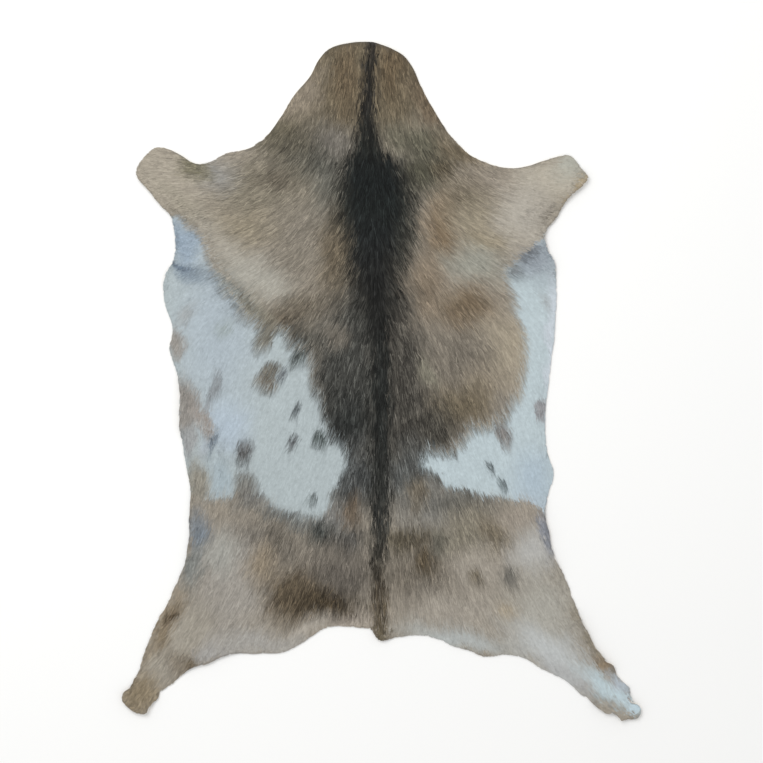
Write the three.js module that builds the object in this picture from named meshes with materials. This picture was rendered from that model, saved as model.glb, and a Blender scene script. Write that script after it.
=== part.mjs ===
// A goatskin rug: one tanned hide with its short hair left on, lying flat with the hair side up.
// Millimetres, +Z up. The back runs along Y with the neck at +Y, and the flesh side rests on z = 0.
// The origin is the middle of the hide's length and width, on the floor.
import * as THREE from "three";

// Driving dimensions
const LENGTH = 955; // neck end to the furthest hind foot
const RIM_THICKNESS = 2.6; // skin and flattened hair at the trimmed edge
const BODY_THICKNESS = 5.6; // skin and coat over the body
const CREST_RISE = 2.2; // the longer hair along the backbone
const CREST_WIDTH = 20;
const COAT_DEEPENS_OVER = 55; // from the edge inwards
const COAT_UNEVENNESS = 0.35;
const EDGE_STEP = 6.5; // between points along the trimmed edge
const INNER_STEP = 21; // between points over the body
const RIM_INSET = 7.5; // of the row of points inside the edge
const BACKBONE_X = -5;
const COAT_COLOUR = 0x8c8171;
const COAT_ROUGHNESS = 0.95;

// The trimmed edge, anticlockwise from the neck end. "ragged" is how far the knife strayed, in mm.
const EDGE = [
  {
    stretch: "neck, left side",
    ragged: 0.4,
    points: [
      { x: -10, y: 477 }, { x: -52, y: 475 }, { x: -74, y: 467 }, { x: -88, y: 453 },
      { x: -102, y: 427 }, { x: -125, y: 400 }, { x: -138, y: 377 }, { x: -169, y: 338 },
      { x: -190, y: 327 }, { x: -218, y: 321 }, { x: -239, y: 308 }, { x: -260, y: 307 },
    ],
  },
  {
    stretch: "left foreleg",
    ragged: 0.5,
    points: [
      { x: -279, y: 318 }, { x: -303, y: 329 }, { x: -317, y: 329 }, { x: -343, y: 299 },
      { x: -342, y: 285 }, { x: -331, y: 274 }, { x: -306, y: 243 }, { x: -295, y: 232 },
    ],
  },
  {
    stretch: "left flank",
    ragged: 0.8,
    points: [
      { x: -290, y: 209 }, { x: -291, y: 173 }, { x: -305, y: 143 }, { x: -304, y: 114 },
      { x: -292, y: 71 }, { x: -297, y: 47 }, { x: -283, y: -2 }, { x: -283, y: -61 },
      { x: -272, y: -124 }, { x: -267, y: -162 }, { x: -270, y: -195 }, { x: -269, y: -218 },
      { x: -278, y: -261 },
    ],
  },
  {
    stretch: "left hind leg",
    ragged: 1.1,
    points: [
      { x: -300, y: -309 }, { x: -321, y: -351 }, { x: -331, y: -376 }, { x: -341, y: -409 },
      { x: -349, y: -418 }, { x: -348, y: -427 }, { x: -359, y: -432 }, { x: -363, y: -446 },
      { x: -353, y: -459 }, { x: -343, y: -464 }, { x: -329, y: -466 }, { x: -322, y: -451 },
      { x: -311, y: -445 }, { x: -307, y: -431 }, { x: -294, y: -425 }, { x: -268, y: -403 },
      { x: -240, y: -394 }, { x: -222, y: -386 }, { x: -203, y: -381 }, { x: -170, y: -382 },
      { x: -141, y: -380 }, { x: -124, y: -374 }, { x: -104, y: -363 }, { x: -87, y: -349 },
      { x: -69, y: -344 },
    ],
  },
  {
    stretch: "rump and tail",
    ragged: 0.7,
    points: [
      { x: -28, y: -345 }, { x: -15, y: -347 }, { x: -3, y: -363 }, { x: 20, y: -359 },
      { x: 50, y: -356 }, { x: 68, y: -357 },
    ],
  },
  {
    stretch: "right hind leg, inner side",
    ragged: 2.3,
    points: [
      { x: 88, y: -364 }, { x: 103, y: -373 }, { x: 129, y: -377 }, { x: 142, y: -387 },
      { x: 183, y: -382 }, { x: 212, y: -395 }, { x: 247, y: -413 }, { x: 275, y: -432 },
      { x: 300, y: -455 }, { x: 315, y: -465 }, { x: 326, y: -463 }, { x: 334, y: -470 },
      { x: 335, y: -478 },
    ],
  },
  {
    stretch: "right hind leg, outer side",
    ragged: 1.4,
    points: [
      { x: 345, y: -474 }, { x: 360, y: -472 }, { x: 364, y: -462 }, { x: 362, y: -452 },
      { x: 347, y: -446 }, { x: 351, y: -435 }, { x: 329, y: -407 }, { x: 327, y: -395 },
      { x: 318, y: -392 }, { x: 302, y: -374 }, { x: 288, y: -345 }, { x: 280, y: -333 },
      { x: 272, y: -309 }, { x: 250, y: -256 }, { x: 239, y: -232 },
    ],
  },
  {
    stretch: "right flank",
    ragged: 0.6,
    points: [
      { x: 235, y: -203 }, { x: 230, y: -185 }, { x: 236, y: -152 }, { x: 243, y: -132 },
      { x: 233, y: -93 }, { x: 230, y: -57 }, { x: 239, y: 30 }, { x: 244, y: 72 },
      { x: 246, y: 150 }, { x: 243, y: 169 }, { x: 233, y: 188 }, { x: 230, y: 204 },
    ],
  },
  {
    stretch: "right foreleg",
    ragged: 0.5,
    points: [
      { x: 234, y: 216 }, { x: 246, y: 229 }, { x: 261, y: 255 }, { x: 291, y: 286 },
      { x: 281, y: 299 }, { x: 272, y: 312 }, { x: 264, y: 318 }, { x: 251, y: 318 },
      { x: 206, y: 304 }, { x: 183, y: 301 },
    ],
  },
  {
    stretch: "neck, right side",
    ragged: 0.4,
    points: [
      { x: 160, y: 304 }, { x: 142, y: 311 }, { x: 123, y: 321 }, { x: 100, y: 344 },
      { x: 84, y: 367 }, { x: 55, y: 419 }, { x: 47, y: 439 }, { x: 35, y: 456 },
      { x: 23, y: 464 }, { x: 5, y: 472 },
    ],
  },
];

// Where the stiff skin stands off the floor: a soft ridge from one point to another.
const FOLDS = [
  { place: "left armpit, edge of the shoulder", from: [-264, 208], to: [-228, 128], width: 15, rise: 6 },
  { place: "left armpit, top of the flank", from: [-292, 142], to: [-205, 106], width: 15, rise: 6.5 },
  { place: "right armpit, edge of the shoulder", from: [243, 210], to: [184, 162], width: 16, rise: 6.5 },
  { place: "right foreleg, crease", from: [240, 246], to: [213, 218], width: 10, rise: 4 },
  { place: "right armpit, top of the flank", from: [246, 168], to: [222, 146], width: 13, rise: 4 },
  { place: "left foreleg, lower edge", from: [-338, 284], to: [-256, 222], width: 13, rise: 4.5 },
  { place: "left foreleg, upper edge", from: [-286, 312], to: [-248, 292], width: 12, rise: 3 },
  { place: "right foreleg, lower edge", from: [289, 288], to: [258, 251], width: 12, rise: 6 },
  { place: "left flank, curled edge", from: [-284, -4], to: [-281, -64], width: 14, rise: 4 },
  { place: "left flank pocket, inner side", from: [-232, -70], to: [-230, -112], width: 10, rise: 4.5 },
  { place: "left flank pocket, outer side", from: [-252, -76], to: [-252, -116], width: 10, rise: 3.5 },
  { place: "left stifle", from: [-250, -165], to: [-258, -276], width: 14, rise: 4.5 },
  { place: "right stifle", from: [228, -182], to: [240, -262], width: 13, rise: 4 },
  { place: "left hind foot", from: [-358, -446], to: [-327, -460], width: 18, rise: 6 },
  { place: "left hind leg, inner edge", from: [-270, -402], to: [-215, -384], width: 13, rise: 3.5 },
  { place: "right hind leg, outer edge", from: [278, -334], to: [322, -398], width: 12, rise: 6 },
  { place: "right hind leg, inner edge", from: [306, -458], to: [338, -474], width: 12, rise: 5.5 },
  { place: "right hind foot", from: [348, -450], to: [360, -466], width: 14, rise: 5 },
  { place: "tail", from: [-4, -362], to: [-4, -338], width: 14, rise: 3.5 },
  { place: "neck end", from: [-62, 470], to: [22, 464], width: 18, rise: 3 },
];

const smooth = (t) => THREE.MathUtils.smoothstep(t, 0, 1);
const bell = (t) => Math.exp(-t * t);

// Distance in plan from a point to the straight line between two others
function distanceToSegment(p, a, b) {
  const line = new THREE.Line3(new THREE.Vector3(a.x, a.y), new THREE.Vector3(b.x, b.y));
  const nearest = line.closestPointToPoint(new THREE.Vector3(p.x, p.y), true, new THREE.Vector3());
  return Math.hypot(p.x - nearest.x, p.y - nearest.y);
}

// The knife's wander along the edge, between -1 and 1
function wander(along) {
  const slow = Math.sin(along / 9.1);
  const quick = Math.sin(along / 4.3 + 1.7);
  const drift = Math.sin(along / 23 + 0.6);
  return (slow + 0.8 * quick * drift) / 1.8;
}

// The whole edge as points EDGE_STEP apart, each moved across the edge by the knife's wander
function trimmedEdge() {
  const rows = EDGE.flatMap((part) => part.points.map((point) => ({ ...point, ragged: part.ragged })));
  const corners = rows.map(({ x, y, ragged }) => new THREE.Vector3(x, y, ragged));
  const curve = new THREE.CatmullRomCurve3(corners, true, "centripetal");
  curve.arcLengthDivisions = 4 * corners.length * EDGE_STEP;
  const count = Math.round(curve.getLength() / EDGE_STEP);
  const edge = [];
  for (let i = 0; i < count; i++) {
    const at = curve.getPointAt(i / count);
    const along = curve.getTangentAt(i / count);
    const across = new THREE.Vector2(along.y, -along.x).normalize();
    const stray = at.z * wander(i * EDGE_STEP);
    edge.push(new THREE.Vector2(at.x, at.y).addScaledVector(across, stray));
  }
  return centred(edge);
}

// Puts the middle of the edge's bounding box on the origin and scales it to the stated length
function centred(edge) {
  const box = new THREE.Box2().setFromPoints(edge);
  const middle = box.getCenter(new THREE.Vector2());
  const scale = LENGTH / box.getSize(new THREE.Vector2()).y;
  return edge.map((p) => p.clone().sub(middle).multiplyScalar(scale));
}

function isInside(p, edge) {
  let inside = false;
  edge.forEach((a, i) => {
    const b = edge[(i + 1) % edge.length];
    const crosses = a.y > p.y !== b.y > p.y;
    if (crosses && p.x < a.x + ((b.x - a.x) * (p.y - a.y)) / (b.y - a.y)) inside = !inside;
  });
  return inside;
}

function distanceToEdge(p, edge) {
  return Math.min(...edge.map((a, i) => distanceToSegment(p, a, edge[(i + 1) % edge.length])));
}

// Candidate points for the sheet: a row inside the edge, rows along the folds, then a hexagonal grid.
function innerCandidates(edge) {
  const found = [];
  edge.forEach((p, i) => {
    const before = edge[(i - 1 + edge.length) % edge.length];
    const after = edge[(i + 1) % edge.length];
    const inwards = new THREE.Vector2(before.y - after.y, after.x - before.x).normalize();
    found.push({ at: p.clone().addScaledVector(inwards, RIM_INSET), apart: RIM_INSET });
  });
  for (const { from, to, width } of FOLDS) {
    const start = new THREE.Vector2(...from);
    const run = new THREE.Vector2(...to).sub(start);
    const side = new THREE.Vector2(-run.y, run.x).normalize();
    const steps = Math.ceil(run.length() / width);
    for (let step = 0; step <= steps; step++) {
      for (const offset of [0, -1, 1]) {
        const at = start.clone().addScaledVector(run, step / steps).addScaledVector(side, offset * width);
        found.push({ at, apart: width * 0.7 });
      }
    }
  }
  const rowStep = (INNER_STEP * Math.sqrt(3)) / 2;
  const reach = LENGTH / 2;
  for (let row = 0, y = -reach; y < reach; row++, y += rowStep) {
    for (let x = -reach + (row % 2) * (INNER_STEP / 2); x < reach; x += INNER_STEP) {
      found.push({ at: new THREE.Vector2(x, y), apart: INNER_STEP * 0.72 });
    }
  }
  return found;
}

// The candidates that lie inside the edge and far enough from every point taken before them
function innerPoints(edge) {
  const taken = [];
  for (const { at, apart } of innerCandidates(edge)) {
    const clearOfEdge = isInside(at, edge) && distanceToEdge(at, edge) > RIM_INSET * 0.8;
    if (clearOfEdge && taken.every((other) => other.distanceTo(at) > apart * 0.9)) taken.push(at);
  }
  return taken;
}

// Delaunay triangles of a set of points, by adding the points one at a time
function delaunay(points) {
  const far = 20 * LENGTH;
  const all = [...points, new THREE.Vector2(-far, -far), new THREE.Vector2(far, -far), new THREE.Vector2(0, far)];
  const withCircle = (a, b, c) => {
    const [p, q, r] = [all[a], all[b], all[c]];
    const turn = 2 * (p.x * (q.y - r.y) + q.x * (r.y - p.y) + r.x * (p.y - q.y));
    const [pp, qq, rr] = [p.lengthSq(), q.lengthSq(), r.lengthSq()];
    const centre = new THREE.Vector2(
      (pp * (q.y - r.y) + qq * (r.y - p.y) + rr * (p.y - q.y)) / turn,
      (pp * (r.x - q.x) + qq * (p.x - r.x) + rr * (q.x - p.x)) / turn,
    );
    return { corners: [a, b, c], centre, radiusSq: centre.distanceToSquared(p) };
  };
  let triangles = [withCircle(points.length, points.length + 1, points.length + 2)];
  points.forEach((point, index) => {
    const open = new Map(); // directed edges round the hole that the new point leaves
    triangles = triangles.filter(({ corners: [a, b, c], centre, radiusSq }) => {
      if (centre.distanceToSquared(point) >= radiusSq) return true;
      for (const [from, to] of [[a, b], [b, c], [c, a]]) {
        if (!open.delete(`${to} ${from}`)) open.set(`${from} ${to}`, [from, to]);
      }
      return false;
    });
    for (const [from, to] of open.values()) triangles.push(withCircle(from, to, index));
  });
  return triangles.map(({ corners }) => corners).filter((corners) => Math.max(...corners) < points.length);
}

// Height of the flesh side above the floor
function lift(p) {
  const rises = FOLDS.map(({ from, to, width, rise }) => {
    const away = distanceToSegment(p, { x: from[0], y: from[1] }, { x: to[0], y: to[1] });
    return away < 2 * width ? rise * (bell(away / width) - bell(2)) : 0;
  });
  return Math.max(0, ...rises);
}

// Thickness of the skin with its coat
function thickness(p, fromEdge) {
  const body = (BODY_THICKNESS - RIM_THICKNESS) * smooth(fromEdge / COAT_DEEPENS_OVER);
  const crest = CREST_RISE * bell((p.x - BACKBONE_X) / CREST_WIDTH) * smooth(fromEdge / COAT_DEEPENS_OVER);
  const lumps = Math.sin(p.x / 17 + 2 * Math.sin(p.y / 41)) * Math.sin(p.y / 23 + Math.sin(p.x / 31));
  return RIM_THICKNESS + body + crest + COAT_UNEVENNESS * lumps * smooth(fromEdge / RIM_INSET);
}

// The closed sheet: hair side, flesh side and the cut wall between them
function hideGeometry() {
  const edge = trimmedEdge();
  const plan = [...edge, ...innerPoints(edge)];
  const faces = delaunay(plan).filter((corners) => {
    const middle = new THREE.Vector2();
    corners.forEach((corner) => middle.addScaledVector(plan[corner], 1 / 3));
    return isInside(middle, edge);
  });
  const fleshSide = plan.flatMap((p) => [p.x, p.y, lift(p)]);
  const hairSide = plan.flatMap((p, i) => {
    const fromEdge = i < edge.length ? 0 : distanceToEdge(p, edge);
    return [p.x, p.y, lift(p) + thickness(p, fromEdge)];
  });
  const over = plan.length; // a point's index on the hair side is this much higher
  const index = [];
  for (const [a, b, c] of faces) index.push(a, c, b, a + over, b + over, c + over);
  edge.forEach((_, i) => {
    const next = (i + 1) % edge.length;
    index.push(i, next, next + over, i, next + over, i + over);
  });
  const geometry = new THREE.BufferGeometry();
  geometry.setAttribute("position", new THREE.Float32BufferAttribute([...fleshSide, ...hairSide], 3));
  geometry.setIndex(index);
  geometry.computeVertexNormals();
  return geometry;
}

const coat = new THREE.MeshStandardMaterial({ color: COAT_COLOUR, roughness: COAT_ROUGHNESS, metalness: 0 });
const hide = new THREE.Mesh(hideGeometry(), coat);
hide.name = "goatskin";

const rug = new THREE.Group();
rug.add(hide);
export default rug;
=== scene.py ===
"""A goatskin rug: one tanned hide with its short hair left on, lying flat with the hair side up.

Metres, +Z up. The back runs along Y with the neck at +Y, and the flesh side rests on z = 0.
"""

import math

import bmesh
import bpy
import numpy as np
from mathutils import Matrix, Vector, noise
from mathutils.bvhtree import BVHTree
from mathutils.kdtree import KDTree


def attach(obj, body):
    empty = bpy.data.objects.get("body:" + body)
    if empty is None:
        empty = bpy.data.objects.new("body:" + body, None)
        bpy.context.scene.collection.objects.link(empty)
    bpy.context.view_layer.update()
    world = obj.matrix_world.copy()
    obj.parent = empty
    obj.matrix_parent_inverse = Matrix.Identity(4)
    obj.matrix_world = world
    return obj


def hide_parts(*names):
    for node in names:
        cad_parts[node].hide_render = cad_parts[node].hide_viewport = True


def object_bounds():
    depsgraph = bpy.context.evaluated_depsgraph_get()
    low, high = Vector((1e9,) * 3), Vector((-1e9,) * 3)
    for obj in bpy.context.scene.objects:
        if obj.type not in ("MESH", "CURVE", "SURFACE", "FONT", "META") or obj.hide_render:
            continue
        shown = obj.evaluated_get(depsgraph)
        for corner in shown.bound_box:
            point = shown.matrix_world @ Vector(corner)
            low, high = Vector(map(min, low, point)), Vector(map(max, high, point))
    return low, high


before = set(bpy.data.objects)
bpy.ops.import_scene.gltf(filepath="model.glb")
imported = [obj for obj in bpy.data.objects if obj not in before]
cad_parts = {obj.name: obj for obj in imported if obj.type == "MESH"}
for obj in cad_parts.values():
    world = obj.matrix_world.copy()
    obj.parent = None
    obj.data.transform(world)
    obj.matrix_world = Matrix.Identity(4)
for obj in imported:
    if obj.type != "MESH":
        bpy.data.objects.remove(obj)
cad_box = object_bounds()

# The camera
# It looks straight down on the middle of the hide, with the neck at the top, as in the photograph. The
# picture is 763 pixels wide, and each pixel shows 1.4 mm of the hide.
PHOTO_SIDE = 763
PIXEL = 0.0014
LENS = 70  # millimetres
SENSOR = 36  # millimetres

lens = bpy.data.cameras.new("camera")
lens.lens = LENS
lens.sensor_width = SENSOR
camera = bpy.data.objects.new("camera", lens)
camera.location.z = cad_box[1].z / 2 + PHOTO_SIDE * PIXEL * LENS / SENSOR
bpy.context.scene.collection.objects.link(camera)
bpy.context.scene.camera = camera

# The tanned skin
# A whole goat hide about 1.3 mm thick, tanned to pale suede on the flesh side, with the short wool of the
# undercoat felted together on the hair side. A knife trimmed it round the neck, the legs and the tail, and
# its stiff armpits and edges stand off the floor in soft folds.
SKIN_THICKNESS = 0.0013
WOOL_THICKNESS = 0.0011
WOOL_DEEPENS_OVER = 0.016  # from the trimmed edge inwards
EDGE_HAIR = 0.0014  # the hair at the edge reaches this far past the skin
SAME_POINT = 1e-6  # corners of the solid closer than this are one
LYING = 0.5  # a face lies flat where the upright part of its normal is larger
FACE_CUTS = 2
SMOOTHING = 0.5
SMOOTHING_PASSES = 6
WAVE_LENGTH = 0.085  # the low waves of a hide that has been rolled up
WAVE_HEIGHT = 0.0011
WAVE_LIFT = 0.1  # added to noise from -1 to 1, of which all below zero lies on the floor
CREASE_ENDS = 0.65  # the rise at both ends of a crease, as a share of the rise at its middle

# Soft ridges and troughs besides the solid's own: place, start, end, half width, rise
CREASES = [
    ("left armpit, lip of the shoulder", (-0.252, 0.216), (-0.236, 0.162), 0.0090, 0.0020),
    ("left shoulder, lip of the lower edge", (-0.236, 0.162), (-0.190, 0.098), 0.0090, 0.0020),
    ("left armpit, crease", (-0.292, 0.162), (-0.244, 0.153), 0.0050, -0.0012),
    ("left foreleg, roll of the lower edge", (-0.300, 0.250), (-0.254, 0.222), 0.0070, 0.0020),
    ("left foreleg, hollow", (-0.280, 0.304), (-0.246, 0.284), 0.0080, -0.0022),
    ("right foreleg, slit", (0.241, 0.240), (0.218, 0.220), 0.0040, -0.0026),
    ("right foreleg, lip of the slit", (0.238, 0.251), (0.206, 0.224), 0.0050, 0.0016),
    ("left flank, curled edge", (-0.281, -0.004), (-0.277, -0.066), 0.0060, 0.0022),
    ("left flank, trough by the curl", (-0.262, -0.006), (-0.258, -0.066), 0.0070, -0.0016),
    ("left flank, pocket", (-0.241, -0.082), (-0.242, -0.108), 0.0050, -0.0030),
    ("left flank, rim of the pocket", (-0.250, -0.070), (-0.229, -0.092), 0.0050, 0.0018),
    ("right hind leg, groove by the curl", (0.268, -0.342), (0.306, -0.398), 0.0060, -0.0020),
    ("right hind leg, roll of the lower rim", (0.306, -0.449), (0.338, -0.466), 0.0050, 0.0018),
    ("tail, left side", (-0.014, -0.352), (-0.014, -0.322), 0.0050, -0.0020),
]

# Where the thin skin of the armpits settles flatter than the solid: place, x, y, radius
SETTLED = [("left armpit", -0.245, 0.165, 0.062), ("right armpit", 0.228, 0.205, 0.060)]
SETTLING_PASSES = 40


def away_from_line(place, start, end):
    """How far a place lies from the line between two points, and how far along the line, from 0 to 1."""
    line = Vector(end) - Vector(start)
    along = min(1, max(0, (place - Vector(start)).dot(line) / line.length_squared))
    return (place - Vector(start) - line * along).length, along


def relief(place):
    """The height that waves and creases add to the skin at a place."""
    wave = noise.noise(Vector((place.x, place.y, 0)) / WAVE_LENGTH)
    height = WAVE_HEIGHT * max(0, wave + WAVE_LIFT)
    for _, start, end, width, rise in CREASES:
        away, along = away_from_line(place, start, end)
        fullness = CREASE_ENDS + (1 - CREASE_ENDS) * math.sin(math.pi * along)
        height += rise * fullness * math.exp(-((away / width) ** 2))
    return height


# The solid's flat underside, turned over and trimmed to where the skin ends under the hair of the edge
skin = bmesh.new()
skin.from_mesh(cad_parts["goatskin"].data)
bmesh.ops.remove_doubles(skin, verts=skin.verts, dist=SAME_POINT)
skin.normal_update()
off_flesh_side = [face for face in skin.faces if face.normal.z > -LYING]
bmesh.ops.delete(skin, geom=off_flesh_side, context="FACES")
bmesh.ops.reverse_faces(skin, faces=skin.faces)
trimmings = bmesh.ops.inset_region(
    skin, faces=skin.faces, thickness=EDGE_HAIR, use_boundary=True, use_even_offset=True)
bmesh.ops.delete(skin, geom=trimmings["faces"], context="FACES")
bmesh.ops.subdivide_edges(skin, edges=skin.edges, cuts=FACE_CUTS, use_grid_fill=True)
for _ in range(SMOOTHING_PASSES):
    bmesh.ops.smooth_vert(skin, verts=skin.verts, factor=SMOOTHING, use_axis_z=True)
for _, x, y, radius in SETTLED:
    within = [vertex for vertex in skin.verts if (vertex.co.xy - Vector((x, y))).length < radius]
    for _ in range(SETTLING_PASSES):
        bmesh.ops.smooth_vert(skin, verts=within, factor=SMOOTHING, use_axis_z=True)
for vertex in skin.verts:
    vertex.co.z = max(0, vertex.co.z + relief(vertex.co.xy))

# The trimmed edge, as points with the direction out of the hide
cut_line = [edge for edge in skin.edges if edge.is_boundary]
edge_points = np.zeros((len(cut_line), 2))
edge_outwards = np.zeros((len(cut_line), 2))
edge_finder = KDTree(len(cut_line))
for number, edge in enumerate(cut_line):
    middle = (edge.verts[0].co.xy + edge.verts[1].co.xy) / 2
    run = (edge.verts[1].co.xy - edge.verts[0].co.xy).normalized()
    outwards = Vector((run.y, -run.x))
    if outwards.dot(edge.link_faces[0].calc_center_median().xy - middle) > 0:
        outwards.negate()
    edge_points[number] = middle
    edge_outwards[number] = outwards
    edge_finder.insert((middle.x, middle.y, 0), number)
edge_finder.balance()


def depth_inside(places):
    """How far each place lies inside the skin's trimmed edge, in plan. It is below zero outside."""
    nearest = np.array([edge_finder.find((x, y, 0))[1] for x, y in places])
    return -np.sum((places - edge_points[nearest]) * edge_outwards[nearest], axis=1)


def soft_step(values):
    """0 below 0, 1 above 1, and a soft step between them."""
    held = np.clip(values, 0, 1)
    return held * held * (3 - 2 * held)


raised = bmesh.ops.extrude_face_region(skin, geom=skin.faces[:], use_keep_orig=True)["geom"]
raised = [vertex for vertex in raised if isinstance(vertex, bmesh.types.BMVert)]
wool_depths = depth_inside(np.array([vertex.co.xy for vertex in raised]))
wool = WOOL_THICKNESS * soft_step(wool_depths / WOOL_DEEPENS_OVER)
for vertex, height in zip(raised, wool):
    vertex.co.z += SKIN_THICKNESS + height
bmesh.ops.recalc_face_normals(skin, faces=skin.faces)
FLESH_SIDE, CUT_EDGE, WOOL = range(3)
for face in skin.faces:
    face.smooth = abs(face.normal.z) > LYING
    if face.smooth:
        face.material_index = WOOL if face.normal.z > 0 else FLESH_SIDE
    else:
        face.material_index = CUT_EDGE
skin_surface = BVHTree.FromBMesh(skin)
skin_mesh = bpy.data.meshes.new("tanned_skin")
skin.to_mesh(skin_mesh)
skin.free()


class Wire:
    """A socket in a material's nodes. Sums on wires add the Math nodes that work them out."""

    def __init__(self, tree, socket=None):
        self.tree = tree
        self.socket = socket

    def node(self, kind, settings, sockets, output=0):
        """Adds a node of this kind: first its settings, then the values or wires of its sockets."""
        added = self.tree.nodes.new(kind)
        for name, value in settings.items():
            setattr(added, name, value)
        for name, value in sockets.items():
            if isinstance(value, Wire):
                self.tree.links.new(value.socket, added.inputs[name])
            else:
                added.inputs[name].default_value = value
        return Wire(self.tree, added.outputs[output] if added.outputs else None)

    def maths(self, operation, *values):
        return self.node("ShaderNodeMath", {"operation": operation}, dict(enumerate(values)))

    def __add__(self, other):
        return self.maths("ADD", self, other)

    def __rsub__(self, other):
        return self.maths("SUBTRACT", other, self)

    def __mul__(self, other):
        return self.maths("MULTIPLY", self, other)

    __radd__ = __add__
    __rmul__ = __mul__

    def mixed(self, first, second):
        """The first colour where this wire is 0, and the second where it is 1."""
        return self.node("ShaderNodeMix", {"data_type": "RGBA"}, {0: self, 6: first, 7: second}, 2)

    def times(self, factor):
        """This colour made lighter or darker by a factor."""
        return self.node("ShaderNodeVectorMath", {"operation": "SCALE"}, {"Vector": self, "Scale": factor})

    def between(self, low, high):
        """0 up to the low value, 1 from the high one on, and a soft step between them."""
        limits = {"Value": self, "From Min": low, "From Max": high}
        return self.node("ShaderNodeMapRange", {"interpolation_type": "SMOOTHSTEP"}, limits)

    def spread(self, low, high):
        """This wire's 0 to 1 spread between two values."""
        return low + (high - low) * self

    def speckle(self, size, detail=2.0):
        """Noise with lumps about this many metres across, read at this wire's place."""
        return self.node("ShaderNodeTexNoise", {}, {"Vector": self, "Scale": 1 / size, "Detail": detail})

    def bumps(self, strength, rise):
        """A surface that stands up by this rise in metres where this wire is 1."""
        return self.node("ShaderNodeBump", {}, {"Height": self, "Strength": strength, "Distance": rise})

    def attribute(self, name, output="Fac"):
        """What the mesh holds under this name at each of its points."""
        return self.node("ShaderNodeAttribute", {"attribute_name": name}, {}, output)


def start_material(name):
    """A new material without nodes, with a wire to add them from and the place on the piece."""
    material = bpy.data.materials.new(name)
    material.use_nodes = True
    material.node_tree.nodes.clear()
    wires = Wire(material.node_tree)
    return material, wires, wires.node("ShaderNodeTexCoord", {}, {}, "Object")


def finish_material(wires, **sockets):
    """Leads a Principled shader with these sockets to the material's output."""
    named = {name.replace("_", " "): value for name, value in sockets.items()}
    shader = wires.node("ShaderNodeBsdfPrincipled", {}, named)
    wires.node("ShaderNodeOutputMaterial", {}, {"Surface": shader})


def linear(red, green, blue):
    """A colour as it looks on a screen, each part from 0 to 255, in linear light, by the screen's curve."""
    parts = np.array((red, green, blue)) / 255
    return np.where(parts <= 0.04045, parts / 12.92, ((parts + 0.055) / 1.055) ** 2.4)


def opaque(red, green, blue):
    """The same with the fourth part that a colour socket takes."""
    return (*linear(red, green, blue), 1)


# Suede of the flesh side, browner and harder towards the cut edge, with the fine nap of the splitting knife
SUEDE = (212, 200, 178)
PALE_SUEDE = (226, 216, 198)
CLOUD_SIZE = 0.060
CLOUD_EDGES = (0.35, 0.65)  # the noise between which one colour of suede turns into the other
BROWN_RIM = (190, 168, 134)
RIM_WIDTH = 0.018
RIM_SHOWS = 0.75
NAP_SIZE = 0.0009
NAP_DETAIL = 4.0
NAP_HEIGHT = 0.0004
NAP_STRENGTH = 0.35
NAP_SHADES = (0.86, 1.14)
SUEDE_ROUGHNESS = (0.82, 0.94)

suede, wires, place = start_material("flesh_side_suede")
rim = RIM_SHOWS * (1 - wires.attribute("depth").between(0, RIM_WIDTH))
cloudy = place.speckle(CLOUD_SIZE).between(*CLOUD_EDGES)
nap = place.speckle(NAP_SIZE, NAP_DETAIL)
hide_colour = cloudy.mixed(opaque(*SUEDE), opaque(*PALE_SUEDE))
hide_colour = rim.mixed(hide_colour, opaque(*BROWN_RIM))
hide_colour = hide_colour.times(nap.spread(*NAP_SHADES))
finish_material(wires, Base_Color=hide_colour, Roughness=nap.spread(*SUEDE_ROUGHNESS),
                Normal=nap.bumps(NAP_STRENGTH, NAP_HEIGHT))

# The cut edge: the fibres of the leather's whole thickness, a little polished by the knife
CUT_LEATHER = (176, 158, 128)
PALE_FIBRES = (214, 200, 172)
FIBRE_SIZE = 0.0006
FIBRE_DETAIL = 3.0
CUT_ROUGHNESS = 0.7

cut, wires, place = start_material("cut_leather")
fibres = place.speckle(FIBRE_SIZE, FIBRE_DETAIL)
cut_colour = fibres.mixed(opaque(*CUT_LEATHER), opaque(*PALE_FIBRES))
finish_material(wires, Base_Color=cut_colour, Roughness=CUT_ROUGHNESS)


def hold(mesh, name, values):
    """Gives each point of a mesh a number, or a colour in three parts."""
    kind, field = ("FLOAT", "value") if values.ndim == 1 else ("FLOAT_VECTOR", "vector")
    held = mesh.attributes.new(name, kind, "POINT")
    held.data.foreach_set(field, values.astype(np.float32).ravel())


rug_skin = bpy.data.objects.new("tanned_skin", skin_mesh)
bpy.context.scene.collection.objects.link(rug_skin)
skin_mesh.materials.append(suede)
skin_mesh.materials.append(cut)
skin_points = np.array([vertex.co.xy for vertex in skin_mesh.vertices])
hold(skin_mesh, "depth", depth_inside(skin_points))
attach(rug_skin, "root")
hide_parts("goatskin")

# The colours of the coat
# A goat's own undyed hair: tan shoulders and rump, a near-black back, and bluish white flanks with
# brown spots. Each mark is laid over those before it, as soft as the hair lets it be. Some marks are
# painted shade: the right armpit and its folds, the left armpit's crease, under the left shoulder's
# lower edge, in the left foreleg's hollow and in the left flank's pocket.
FAWN = (151, 143, 130)
MARKS_STRAY = 0.0034  # how far the marks' edges wander
BENDS = 1.3  # how much the longer ripples of that wandering bend
FINE_RIPPLES = 0.6  # the shorter ripples, as a share of the longer ones
RIPPLES_ACROSS = (0.011, 0.017, 0.006, 0.009)  # how long the ripples and their bends are
RIPPLES_ALONG = (0.012, 0.015, 0.007, -0.010)
TAN_MINGLES = 0.4  # how far tan hairs mix with those of the next mark, as a share of the dark ones
STRIPE_MINGLES = 0.7  # how far the stripe's hairs mix with those beside it, as a share of the dark ones
STRIPE_STRAYS = 0.3  # how far the stripe's edges wander, as a share of the marks'
LUMINANCE = (0.2126, 0.7152, 0.0722)  # how much red, green and blue count in brightness

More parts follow.
